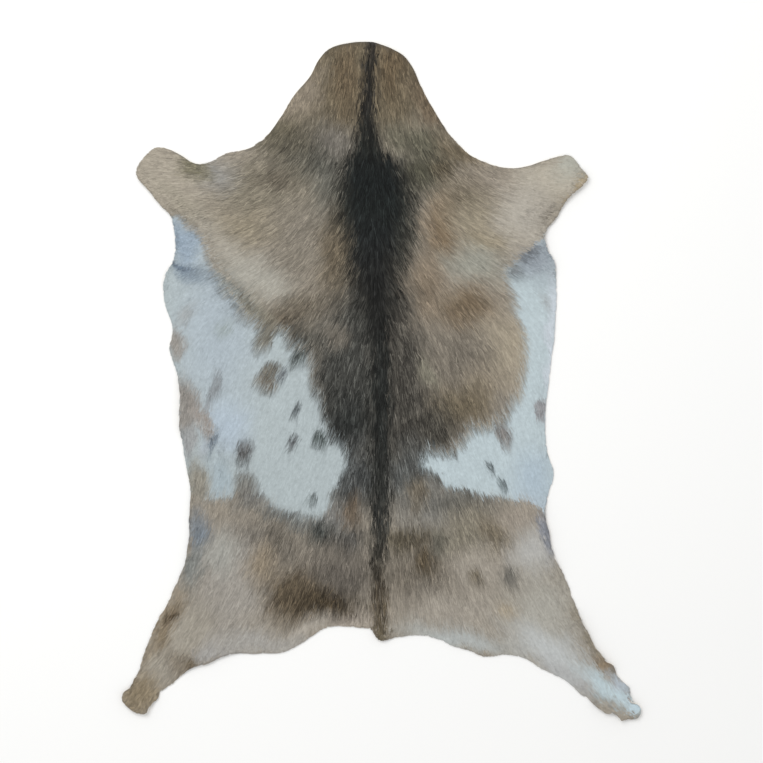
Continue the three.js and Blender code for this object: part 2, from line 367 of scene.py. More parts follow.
# The studio's light makes the coat look lighter than it is: how bright it looks, and its true share of that
UNDER_LIGHT = [(0.05, 0.88), (0.25, 0.93), (0.45, 0.91)]

# Place, x, y, half width, half height, turn in degrees, softness as a share of the size, colour
TAN_MARKS = [
    ("neck", -0.020, 0.425, 0.125, 0.085, 0, 0.45, (110, 100, 82)),
    ("neck, left edge", -0.112, 0.398, 0.020, 0.045, -38, 0.70, (137, 127, 112)),
    ("neck, brown left of the stripe", -0.050, 0.430, 0.016, 0.050, 0, 0.80, (104, 91, 72)),
    ("neck, right edge", 0.068, 0.385, 0.016, 0.045, 30, 0.80, (110, 97, 80)),
    ("neck, brown right of the stripe", 0.014, 0.440, 0.016, 0.040, 0, 0.80, (100, 87, 68)),
    ("base of the neck, olive left", -0.140, 0.346, 0.034, 0.018, 35, 0.70, (107, 100, 82)),
    ("base of the neck, left", -0.110, 0.330, 0.060, 0.030, 10, 0.70, (98, 93, 81)),
    ("base of the neck, grey left", -0.064, 0.332, 0.026, 0.024, 0, 0.80, (118, 113, 105)),
    ("base of the neck, olive right", 0.050, 0.336, 0.048, 0.022, -15, 0.70, (100, 97, 83)),
    ("base of the neck, edge right", 0.110, 0.318, 0.040, 0.016, -28, 0.70, (116, 105, 87)),
    ("withers, grizzle left", -0.098, 0.298, 0.044, 0.024, 8, 0.80, (79, 78, 71)),
    ("withers, grizzle right", 0.058, 0.292, 0.040, 0.030, 0, 0.80, (84, 82, 69)),
    ("withers, brown right", 0.090, 0.297, 0.016, 0.016, 0, 0.80, (84, 76, 60)),
    ("withers, grey beside the saddle", -0.080, 0.262, 0.022, 0.040, 0, 0.80, (106, 106, 99)),
    ("around the saddle", -0.010, 0.225, 0.064, 0.088, 0, 0.30, (60, 60, 54)),
    ("behind the saddle", -0.010, 0.125, 0.048, 0.080, 0, 0.40, (60, 58, 52)),
    ("left shoulder, brown", -0.165, 0.268, 0.070, 0.042, 0, 0.60, (132, 125, 110)),
    ("left shoulder, dark fleck", -0.148, 0.284, 0.018, 0.014, 0, 0.90, (102, 95, 83)),
    ("left shoulder, tan", -0.180, 0.214, 0.060, 0.026, 0, 0.70, (145, 136, 118)),
    ("left shoulder, inner", -0.118, 0.196, 0.040, 0.055, 0, 0.80, (134, 127, 115)),
    ("left shoulder, grey", -0.232, 0.288, 0.026, 0.022, 0, 0.80, (146, 144, 139)),
    ("left foreleg", -0.302, 0.280, 0.052, 0.040, -40, 0.50, (163, 155, 141)),
    # Painted shade in the hollow at the top of the left foreleg
    ("left foreleg, hollow", -0.262, 0.298, 0.024, 0.012, -32, 0.70, (122, 117, 98)),
    ("left foreleg, lower edge", -0.272, 0.246, 0.044, 0.012, -38, 0.70, (158, 151, 136)),
    ("left shoulder, pale band", -0.218, 0.186, 0.050, 0.018, -48, 0.80, (164, 158, 146)),
    ("left shoulder, pale", -0.174, 0.146, 0.048, 0.024, -30, 0.80, (166, 163, 153)),
    ("left of the back, brown", -0.066, 0.175, 0.020, 0.055, 0, 0.80, (108, 98, 82)),
    ("behind the left shoulder", -0.112, 0.100, 0.050, 0.022, 12, 0.80, (115, 107, 94)),
    ("behind the left shoulder, brown", -0.140, 0.080, 0.022, 0.016, 0, 0.80, (88, 78, 65)),
    ("behind the left shoulder, grizzle", -0.110, 0.062, 0.028, 0.018, -30, 0.80, (86, 84, 77)),
    ("left shoulder, lower edge", -0.178, 0.098, 0.040, 0.013, -34, 0.60, (134, 130, 117)),
    # Painted shade under the left shoulder's overlapping lower edge, in the tan hair beside the white
    ("left shoulder, painted shade of the lip", -0.212, 0.132, 0.042, 0.006, -40, 0.90, (134, 137, 132)),
    ("right shoulder", 0.160, 0.272, 0.066, 0.032, 0, 0.60, (148, 139, 126)),
    ("right shoulder, inner brown", 0.112, 0.256, 0.030, 0.030, 0, 0.80, (119, 110, 94)),
    ("right foreleg", 0.240, 0.284, 0.050, 0.030, 12, 0.60, (177, 170, 156)),
    ("right foreleg, tip", 0.264, 0.302, 0.020, 0.016, 0, 0.80, (175, 174, 163)),
    ("right foreleg, curled edge", 0.272, 0.266, 0.028, 0.005, 47, 0.60, (170, 156, 130)),
    ("right shoulder, orange brown", 0.084, 0.210, 0.022, 0.045, 0, 0.80, (128, 111, 89)),
    ("right shoulder, tan", 0.142, 0.220, 0.046, 0.034, -20, 0.70, (147, 138, 120)),
    ("right shoulder, pale", 0.196, 0.232, 0.036, 0.044, 0, 0.70, (175, 169, 158)),
    ("right shoulder, ochre", 0.140, 0.194, 0.024, 0.012, 0, 0.80, (151, 141, 121)),
    ("behind the right shoulder, pale", 0.130, 0.166, 0.040, 0.022, -10, 0.80, (152, 151, 140)),
    ("behind the right shoulder, brown", 0.118, 0.102, 0.040, 0.030, 0, 0.80, (122, 107, 87)),
    ("right of the back, brown", 0.062, 0.130, 0.022, 0.048, 0, 0.80, (133, 120, 103)),
    ("right flank, tan", 0.172, 0.046, 0.036, 0.048, 0, 0.60, (162, 152, 134)),
    ("right flank, brown grey", 0.108, 0.030, 0.046, 0.046, 0, 0.80, (122, 115, 104)),
    ("right flank, ochre", 0.146, -0.004, 0.022, 0.028, 0, 0.80, (144, 134, 118)),
    ("right flank, lower brown", 0.112, -0.036, 0.050, 0.030, 0, 0.80, (112, 102, 84)),
    ("right flank, lower edge", 0.168, -0.030, 0.016, 0.016, 0, 0.80, (140, 133, 122)),
    ("right flank, dark", 0.066, -0.066, 0.044, 0.036, 0, 0.70, (76, 73, 66)),
    ("right of the back, dark", 0.030, -0.010, 0.032, 0.130, 0, 0.60, (77, 74, 68)),
    ("left flank, dark", -0.050, 0.005, 0.046, 0.112, 0, 0.45, (74, 74, 70)),
    ("left flank, pale spot", -0.064, 0.066, 0.015, 0.016, -25, 0.80, (118, 112, 102)),
    ("left flank, darkest", -0.042, -0.060, 0.034, 0.042, 0, 0.80, (52, 54, 52)),
    ("loin, grizzle left", -0.040, -0.136, 0.040, 0.050, 0, 0.50, (78, 80, 79)),
    ("loin, grey left", -0.064, -0.190, 0.020, 0.020, 0, 0.80, (130, 129, 125)),
    ("loin, brown left", -0.040, -0.180, 0.012, 0.020, 0, 0.80, (108, 96, 82)),
    ("loin, grizzle right", 0.044, -0.132, 0.040, 0.044, 0, 0.60, (90, 92, 90)),
    ("loin, grey right", 0.064, -0.180, 0.040, 0.030, 0, 0.80, (128, 126, 120)),
    ("loin, brown right", 0.050, -0.162, 0.014, 0.024, 0, 0.80, (118, 109, 94)),
    ("loin, edge of the white left", -0.127, -0.190, 0.054, 0.010, -18, 0.80, (115, 117, 114)),
    ("left hip, grey tuft", -0.186, -0.164, 0.020, 0.014, 0, 0.80, (117, 116, 112)),
    ("loin, edge of the white right", 0.108, -0.168, 0.050, 0.014, 0, 0.80, (104, 103, 98)),
    ("loin, bluish dark left", -0.084, -0.216, 0.022, 0.014, 0, 0.80, (58, 64, 63)),
    ("loin, bluish dark left inner", -0.046, -0.222, 0.020, 0.017, 0, 0.80, (66, 67, 66)),
    ("left hip", -0.168, -0.232, 0.045, 0.034, 0, 0.80, (100, 95, 87)),
    ("rump, left", -0.060, -0.272, 0.056, 0.044, 0, 0.80, (107, 101, 93)),
    ("left hip, tan", -0.212, -0.280, 0.052, 0.070, 0, 0.60, (156, 151, 143)),
    ("left hip, ochre", -0.166, -0.256, 0.020, 0.026, 0, 0.80, (144, 132, 114)),
    ("left hip, dark brown", -0.124, -0.300, 0.040, 0.034, -8, 0.50, (98, 87, 71)),
    ("rump, dark brown left", -0.072, -0.316, 0.040, 0.022, -12, 0.80, (68, 58, 43)),
    ("rump, pale edge left", -0.175, -0.366, 0.075, 0.017, -6, 0.70, (166, 163, 157)),
    ("rump, cream edge left", -0.100, -0.344, 0.036, 0.010, 22, 0.70, (172, 165, 154)),
    ("rump, cream by the tail left", -0.038, -0.337, 0.026, 0.009, 0, 0.70, (188, 178, 166)),
    ("left hind leg", -0.292, -0.372, 0.028, 0.070, -38, 0.60, (160, 154, 142)),
    ("left hind leg, outer edge", -0.304, -0.344, 0.010, 0.050, -28, 0.80, (137, 124, 104)),
    ("left hind leg, inner edge", -0.276, -0.398, 0.030, 0.012, -30, 0.80, (135, 126, 112)),
    ("left hind leg, pale inner edge", -0.236, -0.382, 0.024, 0.012, 10, 0.80, (168, 166, 162)),
    ("left hind foot", -0.340, -0.440, 0.026, 0.030, 0, 0.70, (142, 129, 107)),
    ("left flank, bluish thin", -0.257, -0.215, 0.013, 0.030, 0, 0.90, (122, 130, 137)),
    ("left flank, grey thin", -0.264, -0.262, 0.012, 0.026, -15, 0.80, (129, 131, 127)),
    ("left stifle, pale", -0.224, -0.240, 0.020, 0.026, 0, 0.80, (162, 161, 154)),
    ("hip, brown right", 0.058, -0.272, 0.054, 0.040, 0, 0.80, (116, 109, 98)),
    ("hip, brown streak right", 0.062, -0.252, 0.014, 0.016, 0, 0.80, (86, 76, 60)),
    ("loin, brown band right", 0.034, -0.220, 0.036, 0.014, 5, 0.80, (90, 83, 69)),
    ("hip, grey right", 0.082, -0.226, 0.014, 0.014, 0, 0.80, (98, 96, 87)),
    ("right hip", 0.122, -0.212, 0.034, 0.036, 0, 0.80, (130, 124, 110)),
    ("right hip, brown", 0.154, -0.212, 0.015, 0.020, 12, 0.80, (124, 115, 99)),
    ("right hip, tan", 0.138, -0.262, 0.040, 0.026, 0, 0.80, (158, 151, 140)),
    ("right hip, upper", 0.196, -0.192, 0.030, 0.014, 0, 0.80, (157, 148, 136)),
    ("right hip, pale", 0.210, -0.240, 0.028, 0.030, 0, 0.80, (180, 179, 175)),
    ("right hip, violet edge", 0.232, -0.212, 0.008, 0.030, 8, 0.80, (134, 137, 144)),
    ("rump, right", 0.110, -0.322, 0.074, 0.030, 0, 0.80, (160, 153, 142)),
    ("rump, pale edge right", 0.110, -0.362, 0.070, 0.014, -10, 0.80, (178, 182, 180)),
    ("right hind leg", 0.226, -0.330, 0.050, 0.060, 0, 0.80, (168, 165, 156)),
    ("right hind leg, inner", 0.240, -0.380, 0.060, 0.022, -32, 0.80, (188, 191, 190)),
    ("right hind leg, grey lower edge", 0.262, -0.418, 0.038, 0.016, -38, 0.80, (178, 179, 178)),
    ("right hind leg, outer edge", 0.296, -0.356, 0.008, 0.046, 32, 0.80, (146, 138, 122)),
    ("right hind leg, curl", 0.314, -0.398, 0.013, 0.010, -20, 0.60, (144, 128, 107)),
    ("right hind leg, white band", 0.322, -0.436, 0.046, 0.011, -37, 0.80, (193, 210, 216)),
    ("right hind leg, violet white", 0.337, -0.424, 0.018, 0.010, -45, 0.80, (180, 190, 199)),
    ("right hind leg, lower rim", 0.327, -0.465, 0.026, 0.006, -32, 0.60, (168, 160, 147)),
    ("right hind foot", 0.357, -0.460, 0.012, 0.011, 0, 0.60, (196, 214, 222)),
]

# Where the white ends against the darker coat: (y, x) down each side, and (x, y) along the left foot of it
WHITE_STARTS_RIGHT = [
    (0.206, 0.230), (0.183, 0.207), (0.162, 0.179), (0.144, 0.174), (0.128, 0.179), (0.077, 0.195),
    (0.040, 0.204), (0.008, 0.200), (-0.027, 0.186), (-0.046, 0.174), (-0.064, 0.137), (-0.083, 0.112),
    (-0.093, 0.098), (-0.102, 0.066), (-0.114, 0.056), (-0.134, 0.070), (-0.157, 0.100), (-0.162, 0.160),
    (-0.171, 0.188), (-0.177, 0.232), (-0.190, 0.290),
]
WHITE_ENDS_LEFT = [
    (0.244, -0.298), (0.234, -0.286), (0.220, -0.272), (0.205, -0.263), (0.184, -0.249), (0.160, -0.237),
    (0.130, -0.220), (0.106, -0.203), (0.085, -0.182), (0.076, -0.166), (0.068, -0.140), (0.050, -0.119),
    (0.024, -0.098), (0.000, -0.095), (-0.022, -0.090), (-0.050, -0.080), (-0.075, -0.067),
    (-0.091, -0.054), (-0.106, -0.042), (-0.129, -0.050), (-0.155, -0.071), (-0.185, -0.078),
    (-0.200, -0.083),
]
WHITE_FOOT_LEFT = [
    (-0.300, -0.160), (-0.232, -0.166), (-0.212, -0.162), (-0.204, -0.152), (-0.190, -0.152),
    (-0.176, -0.160), (-0.160, -0.170), (-0.136, -0.181), (-0.111, -0.189), (-0.080, -0.198),
    (-0.060, -0.200),
]
WHITE_EDGE = 0.009  # the width over which white turns dark
WHITE_TOP_LEFT = 0.2335
WHITE_TOP_RIGHT = 0.2105
WHITE_FOOT_RIGHT = -0.1775
WHITE_LEFT = (173, 183, 185)
WHITE_RIGHT = (184, 197, 201)

WHITE_MARKS = [
    ("left armpit, bluish", -0.277, 0.192, 0.020, 0.038, 20, 0.70, (145, 160, 174)),
    # Painted shade of the left armpit's crease and of the left shoulder's overlapping lower edge: darker,
    # bluer hair where the folds' shadow falls
    ("left armpit, shade below the crease", -0.248, 0.144, 0.034, 0.010, -22, 0.90, (66, 88, 110)),
    ("left armpit, crease", -0.268, 0.158, 0.030, 0.003, -15, 0.80, (58, 78, 102)),
    ("left shoulder, shade of its edge", -0.212, 0.118, 0.048, 0.009, -39, 0.90, (104, 113, 114)),
    ("left shoulder, deepest shade", -0.230, 0.141, 0.022, 0.010, -42, 0.90, (64, 77, 87)),
    ("left flank, bluish", -0.232, 0.070, 0.050, 0.100, 0, 0.80, (169, 180, 187)),
    ("left flank, bluish lower", -0.215, -0.062, 0.030, 0.030, 0, 0.80, (174, 187, 198)),
    ("left flank, cool foot", -0.224, -0.138, 0.016, 0.028, 0, 0.80, (162, 175, 181)),
    ("left flank, tan edge", -0.290, 0.054, 0.011, 0.020, 0, 0.60, (148, 144, 138)),
    ("left flank, faint tan", -0.274, 0.094, 0.010, 0.009, 0, 0.80, (160, 165, 166)),
    ("left flank, faint grey", -0.219, 0.074, 0.010, 0.008, 0, 0.80, (155, 165, 165)),
    ("left flank, grey streak", -0.235, -0.010, 0.005, 0.026, -15, 0.70, (140, 145, 148)),
    ("left flank, brown edge", -0.275, -0.036, 0.014, 0.042, 6, 0.35, (148, 144, 138)),
    ("left flank, peach rim", -0.252, -0.052, 0.008, 0.034, 22, 0.60, (153, 146, 139)),
    ("left flank, rim below the curl", -0.272, -0.086, 0.010, 0.020, 0, 0.60, (156, 158, 158)),
    # Painted shade of the crease in the left flank's pocket
    ("left flank, pocket", -0.237, -0.088, 0.004, 0.019, -8, 0.70, (122, 133, 142)),
    ("left flank, roll by the pocket", -0.248, -0.093, 0.007, 0.013, 0, 0.70, (174, 183, 190)),
    ("left flank, tan band", -0.258, -0.145, 0.015, 0.036, 0, 0.50, (144, 140, 129)),
    ("brown tongue", -0.164, 0.060, 0.009, 0.022, -28, 0.50, (120, 117, 107)),
    ("brown spot, upper", -0.153, 0.018, 0.012, 0.008, 20, 0.40, (112, 109, 100)),
    ("brown spot, lower", -0.161, -0.002, 0.010, 0.010, 0, 0.40, (114, 108, 97)),
    ("brown spot, dark rim", -0.140, 0.014, 0.003, 0.005, -20, 0.60, (118, 124, 127)),
    ("dark tooth", -0.114, 0.033, 0.006, 0.012, -20, 0.50, (88, 94, 92)),
    ("grey spot, narrow", -0.115, -0.037, 0.004, 0.008, -20, 0.50, (86, 92, 94)),
    ("grey spot, round", -0.125, -0.084, 0.005, 0.006, 0, 0.50, (92, 94, 96)),
    ("dark spot", -0.085, -0.080, 0.007, 0.007, -30, 0.40, (76, 84, 82)),
    ("grey brown spot, fuzzy", -0.196, -0.098, 0.011, 0.012, 0, 0.60, (92, 91, 90)),
    ("grey brown tuft", -0.190, -0.146, 0.013, 0.020, 10, 0.50, (126, 126, 121)),
    ("grey fleck", -0.101, -0.167, 0.003, 0.005, -20, 0.60, (118, 126, 126)),
    ("right flank, pale blue", 0.212, -0.140, 0.026, 0.036, 0, 0.80, (172, 187, 197)),
    ("right flank, rim", 0.238, 0.060, 0.006, 0.110, -2, 0.60, (196, 204, 211)),
    # Painted shade of the right armpit and its folds: bluish grey and darker hair where their shadow falls
    ("right armpit, bluish", 0.218, 0.172, 0.030, 0.030, 0, 0.80, (150, 158, 165)),
    ("right armpit, dark fold", 0.208, 0.176, 0.011, 0.006, 38, 0.90, (112, 117, 122)),
    ("right armpit, dark fold by the shoulder", 0.186, 0.157, 0.010, 0.006, 38, 0.90, (114, 118, 120)),
    ("right flank, faint tan", 0.229, 0.114, 0.006, 0.013, 0, 0.80, (166, 172, 174)),
    ("right flank, grey foot", 0.218, -0.172, 0.020, 0.012, 0, 0.80, (177, 190, 198)),
    ("right flank, edge spot", 0.224, -0.042, 0.007, 0.011, 15, 0.50, (146, 146, 148)),
    ("brown spot, right", 0.169, -0.074, 0.007, 0.014, 32, 0.50, (133, 129, 125)),
    ("grey spot, right", 0.153, -0.123, 0.006, 0.005, -20, 0.50, (100, 108, 110)),
    ("grey spot, lower right", 0.166, -0.140, 0.006, 0.006, 20, 0.50, (112, 122, 124)),
]

# The small marks of the hips, over the rest
HIP_MARKS = [
    ("pale patch right of the back", 0.066, 0.011, 0.012, 0.021, 12, 0.45, (128, 124, 110)),
    ("left hind leg, dark spot", -0.293, -0.327, 0.005, 0.010, -25, 0.60, (90, 78, 62)),
    ("right hip, large spot", 0.178, -0.273, 0.012, 0.012, 0, 0.50, (118, 115, 108)),
    ("right hip, small spot", 0.134, -0.275, 0.008, 0.010, 0, 0.60, (120, 112, 97)),
    ("right hip, stain", 0.178, -0.318, 0.014, 0.009, 0, 0.90, (166, 154, 134)),
    ("left hind leg, brown inner spot", -0.264, -0.392, 0.012, 0.008, -30, 0.70, (116, 105, 88)),
]

# The dark stripe down the back: y, x, half width, softness as a share of the half width, colour
BACK_STRIPE = [
    (0.480, -0.014, 0.007, 0.80, (54, 49, 43)),
    (0.440, -0.016, 0.008, 0.80, (44, 42, 38)),
    (0.390, -0.019, 0.010, 0.70, (40, 38, 35)),
    (0.350, -0.021, 0.014, 0.60, (36, 37, 34)),
    (0.324, -0.019, 0.020, 0.50, (33, 35, 32)),
    (0.308, -0.014, 0.042, 0.45, (26, 29, 28)),
    (0.285, -0.011, 0.047, 0.45, (24, 28, 28)),
    (0.240, -0.008, 0.043, 0.50, (26, 30, 29)),
    (0.205, -0.011, 0.036, 0.60, (32, 35, 35)),
    (0.160, -0.012, 0.028, 0.70, (34, 35, 34)),
    (0.110, -0.006, 0.021, 0.70, (36, 36, 34)),
    (0.060, -0.003, 0.016, 0.60, (36, 37, 35)),
    (0.000, -0.001, 0.014, 0.50, (38, 40, 38)),
    (-0.080, -0.001, 0.016, 0.70, (40, 42, 40)),
    (-0.150, -0.002, 0.015, 0.70, (48, 49, 46)),
    (-0.200, -0.002, 0.010, 0.75, (53, 54, 51)),
    (-0.250, -0.005, 0.009, 0.85, (62, 59, 52)),
    (-0.300, -0.004, 0.008, 0.85, (80, 72, 60)),
    (-0.340, -0.002, 0.009, 0.80, (95, 85, 69)),
    (-0.365, -0.003, 0.010, 0.70, (112, 104, 86)),
]


def follow(table, values):
    """Reads a table of pairs that goes up or down in its first column, with straight lines between rows."""
    first, second = np.array(sorted(table)).T
    return np.interp(values, first, second)


def fading(reach, softness):
    """1 well within a mark and 0 well beyond it. Its edge is where the reach is 1, and is this soft."""
    return soft_step((1 + softness - reach) / (2 * softness))


def laid_over(colours, strength, over):
    """These colours with others over them, as strongly as each strength says."""
    return colours + strength[:, None] * (over - colours)


def with_marks(colours, places, marks):
    """These colours with each oval mark of a table over them."""
    for _, x, y, half_width, half_height, turn, softness, colour in marks:
        angle = math.radians(turn)
        across = (places - (x, y)) @ (math.cos(angle), math.sin(angle)) / half_width
        up = (places - (x, y)) @ (-math.sin(angle), math.cos(angle)) / half_height
        colours = laid_over(colours, fading(np.hypot(across, up), softness), linear(*colour))
    return colours


def with_stripe(colours, places):
    """These colours with the stripe of the back over them."""
    x, y = places.T
    heights, middles, half_widths, softness, shades = zip(*reversed(BACK_STRIPE))
    parts = np.array([linear(*shade) for shade in shades]).T
    stripe = np.stack([np.interp(y, heights, part) for part in parts], axis=1)
    reach = np.abs(x - np.interp(y, heights, middles)) / np.interp(y, heights, half_widths)
    return laid_over(colours, fading(reach, np.interp(y, heights, softness)), stripe)


def beyond(distances):
    """0 well before an edge of the white, 1 well beyond it, and a half on it."""
    return soft_step(distances / WHITE_EDGE + 0.5)


def whiteness(places):
    """How white the coat is at each place, from 0 where it is dark or tan to 1 on the flanks."""
    x, y = places.T
    right = beyond(x - follow(WHITE_STARTS_RIGHT, y))
    right *= beyond(WHITE_TOP_RIGHT - y) * beyond(y - WHITE_FOOT_RIGHT)
    left = beyond(follow(WHITE_ENDS_LEFT, y) - x)
    left *= beyond(WHITE_TOP_LEFT - y) * beyond(y - follow(WHITE_FOOT_LEFT, x))
    return np.maximum(left, right)


def ripples(first, second, lengths):
    """Long bent ripples along the first direction, with short ones over them."""
    long, bend, short, slant = lengths
    bent = np.sin(first / long + BENDS * np.sin(second / bend))
    return bent + FINE_RIPPLES * np.sin(second / short + first / slant)


def coat_colour(places, mingled=0):
    """The colour of the hair at each place, in linear light. Dark and tan hairs come from this far away."""
    x, y = places.T
    stray = np.column_stack((ripples(y, x, RIPPLES_ACROSS), ripples(x, y, RIPPLES_ALONG)))
    strayed = places + MARKS_STRAY * stray
    fawn = np.tile(linear(*FAWN), (len(places), 1))
    tan = with_marks(fawn, strayed + TAN_MINGLES * mingled, TAN_MARKS)
    white = np.where(strayed[:, :1] > 0, linear(*WHITE_RIGHT), linear(*WHITE_LEFT))
    white = with_marks(white, strayed, WHITE_MARKS)
    colours = with_marks(laid_over(tan, whiteness(strayed), white), strayed, HIP_MARKS)
    return with_stripe(colours, places + STRIPE_STRAYS * MARKS_STRAY * stray + STRIPE_MINGLES * mingled)


def unlit(colours):
    """The colours that hairs need to have for the coat to look like these, with how bright these are."""
    brightness = colours @ LUMINANCE
    return colours * follow(UNDER_LIGHT, brightness)[:, None], brightness


# The undercoat
# Short wool that a goat grows under its hair, felted flat on the skin. It shows between the hairs in the
# coat's colours, and darker at the trimmed edge.
FELT_SIZE = 0.0012
FELT_DETAIL = 3.0
FELT_HEIGHT = 0.0004
FELT_STRENGTH = 0.3
FELT_SHADES = (0.9, 1.1)
EDGE_SHADES = (0.65, 1)
EDGE_SHADES_OVER = 0.010
WOOL_ROUGHNESS = 0.8

wool_finish, wires, place = start_material("undercoat_wool")
inside = wires.attribute("depth").between(0, EDGE_SHADES_OVER)
felt = place.speckle(FELT_SIZE, FELT_DETAIL)
shade = inside.spread(*EDGE_SHADES) * felt.spread(*FELT_SHADES)
finish_material(wires, Base_Color=wires.attribute("coat", "Color").times(shade), Roughness=WOOL_ROUGHNESS,
                Normal=felt.bumps(FELT_STRENGTH, FELT_HEIGHT))
skin_mesh.materials.append(wool_finish)
hold(skin_mesh, "coat", unlit(coat_colour(skin_points))[0])

# The coat
# Goat hair, 14 to 33 mm long over the body and half as long at the trimmed edge. It lies flat from the
# neck to the tail, and outwards over shoulders and hips. It grows in small locks whose tips draw together.
LOCK_SPACING = 0.0043
LOCK_SPREAD = 0.0036  # from side to side at the roots
LOCK_REACH = 0.0060  # between the first and the last root along the lay
BODY_HAIR = 0.0230
LOCK_LENGTHS = (0.85, 1.15)  # as a share of the body's
HAIR_LENGTHS = (0.9, 1.1)  # as a share of the lock's
HAIR_WIDTHS = (0.8, 1.2)  # as a share of the layer's
EDGE_SHARE = 0.50  # the hair at the trimmed edge, as a share of the body's
PAST_EDGE = (0.5, 1.3)  # how far past the skin hair may end, as a share of the hair at the edge
HAIR_DEEPENS_OVER = 0.045
TIPS_TOGETHER = 0.45  # how far the tips of a lock draw together
LOCK_TURN = math.radians(7)
HAIR_TURN = math.radians(5)
BULGE_AT = 0.38  # where along its length a hair is widest and highest
TIP_HEIGHT = 0.75  # of the bulge's
LEAST_CLEAR = 0.6  # how far halfway to the tip a hair stays over the wool, as a share of the same
ROLL = 0.22  # the most a hair leans over to one side
LAY_REACH = 0.050  # how far around a place of the table the hair follows it
PARTING = 0.012  # how far from the middle of the back the lay turns from one side to the other
SHORT_HAIR_ENDS = 1.5  # in radii from the middle of a place of short hair
WELL_ABOVE = 1  # higher than the hide, to look down on its skin

# Place, distance from the backbone, y, degrees by which the hair leans outwards from straight back
LAY = [
    ("neck end", 0.000, 0.470, 0), ("neck end, side", 0.060, 0.440, 8),
    ("neck", 0.000, 0.380, 0), ("neck, side", 0.090, 0.390, 18),
    ("base of the neck", 0.040, 0.330, 12), ("base of the neck, side", 0.110, 0.340, 35),
    ("withers", 0.000, 0.250, 0), ("withers, side", 0.050, 0.250, 28),
    ("shoulder", 0.120, 0.280, 62), ("shoulder, outer", 0.180, 0.260, 78),
    ("foreleg", 0.250, 0.290, 98), ("foreleg, end", 0.320, 0.300, 104),
    ("elbow", 0.240, 0.220, 82), ("shoulder, lower", 0.150, 0.180, 58),
    ("shoulder, lower outer", 0.210, 0.180, 72), ("shoulder, lower inner", 0.100, 0.180, 38),
    ("behind the shoulder", 0.080, 0.080, 25), ("behind the shoulder, side", 0.160, 0.090, 42),
    ("behind the elbow", 0.240, 0.120, 36), ("armpit", 0.280, 0.190, 50),
    ("back", 0.000, 0.000, 0), ("back, side", 0.060, 0.000, 12),
    ("flank", 0.130, 0.000, 26), ("flank, side", 0.200, 0.000, 20), ("flank, edge", 0.270, 0.020, 10),
    ("lower flank", 0.130, -0.110, 26), ("lower flank, side", 0.210, -0.110, 20),
    ("lower flank, edge", 0.260, -0.100, 0), ("loin", 0.000, -0.200, 0), ("loin, side", 0.070, -0.200, 12),
    ("loin, outer", 0.150, -0.200, 22), ("fold of the flank", 0.230, -0.210, 16),
    ("rump", 0.000, -0.300, 0), ("rump, side", 0.080, -0.300, 14), ("hip", 0.150, -0.300, 26),
    ("thigh", 0.230, -0.310, 30), ("stifle", 0.270, -0.290, 26), ("hind leg", 0.300, -0.380, 34),
    ("hind foot", 0.340, -0.440, 38), ("rump, edge", 0.120, -0.370, 24), ("thigh, edge", 0.200, -0.375, 36),
    ("tail", 0.000, -0.350, 0),
]

# Piece, length as a share of the body's hair, lowest and highest bulge over the wool, width
COAT_LAYERS = [
    ("fine_hair", 0.80, 0.0002, 0.0005, 0.00160),
    ("body_hair_low", 0.90, 0.0003, 0.0007, 0.00150),
    ("body_hair_high", 1.00, 0.0005, 0.0010, 0.00140),
    ("guard_hair_low", 1.08, 0.0008, 0.0013, 0.00130),
    ("guard_hair_high", 1.15, 0.0010, 0.0016, 0.00120),
]
HAIRS_PER_LOCK = 2  # in each layer
LOWEST_BULGE = 0.40  # of hair at the trimmed edge, as a share of its layer's
WHITE_MINGLES = 0.0020  # hairs stray this far over the edges of the white
DARK_MINGLES = 0.0050  # and this far over the edges of the dark marks
PLACE_SHARE = 0.80  # how far the root and the tip of a hair take the colours of their own places
CUT_SHORT = 0.3  # the height of a hair trimmed to nothing, as a share of a whole one's

# Pale hair lies flatter and wider than dark hair and is more even: brightness and share, or brightness and
# how far the tones of its hairs differ
SLEEK = [(0.05, 1.0), (0.25, 0.6), (0.42, 0.14)]
WIDER = [(0.28, 1.0), (0.42, 1.35)]
STREAKS = [(0.012, 0.70), (0.05, 0.75), (0.13, 0.38), (0.30, 0.17), (0.42, 0.07), (0.50, 0.06)]
MOST_TONE = 1.6
LOCK_SHOWS = 0.5  # how far a hair's tone is its lock's
HAIR_SHOWS = 0.5  # and how far it is its own
MEAN_TONE = 0.25  # keeps the mean of the tones about where it is without their differing

# Where the hair is short: place, x, y, radius, length as a share
SHORT_HAIR = [
    ("left armpit", -0.270, 0.178, 0.042, 0.35),
    ("right armpit", 0.222, 0.178, 0.036, 0.45),
    ("left flank, pocket", -0.246, -0.086, 0.026, 0.45),
]

chance = np.random.default_rng(seed=7)


def lay_angle(places):
    """The direction in which the hair lies at each place, as an angle from straight back, to the right."""
    from_back = places[:, 0] - follow([row[:2] for row in BACK_STRIPE], places[:, 1])
    heading = np.zeros((len(places), 2))
    for _, away, y, lean in LAY:
        gap = np.hypot(np.abs(from_back) - away, places[:, 1] - y)
        weight = np.exp(-((gap / LAY_REACH) ** 2) / 2)
        heading += weight[:, None] * (math.sin(math.radians(lean)), math.cos(math.radians(lean)))
    side = np.tanh(from_back / PARTING)
    return np.arctan2(heading[:, 0] * side, heading[:, 1])


def pointing(angles):
    """Unit steps in plan along these angles from straight back."""
    return np.stack((np.sin(angles), -np.cos(angles)), axis=1)


def short_hair(places):
    """The length of the hair at each place, as a share of its length where nothing shortens it."""
    shares = np.ones(len(places))
    for _, x, y, radius, share in SHORT_HAIR:
        near = soft_step(SHORT_HAIR_ENDS - np.hypot(*(places - (x, y)).T) / radius)
        shares *= 1 - (1 - share) * near
    return shares


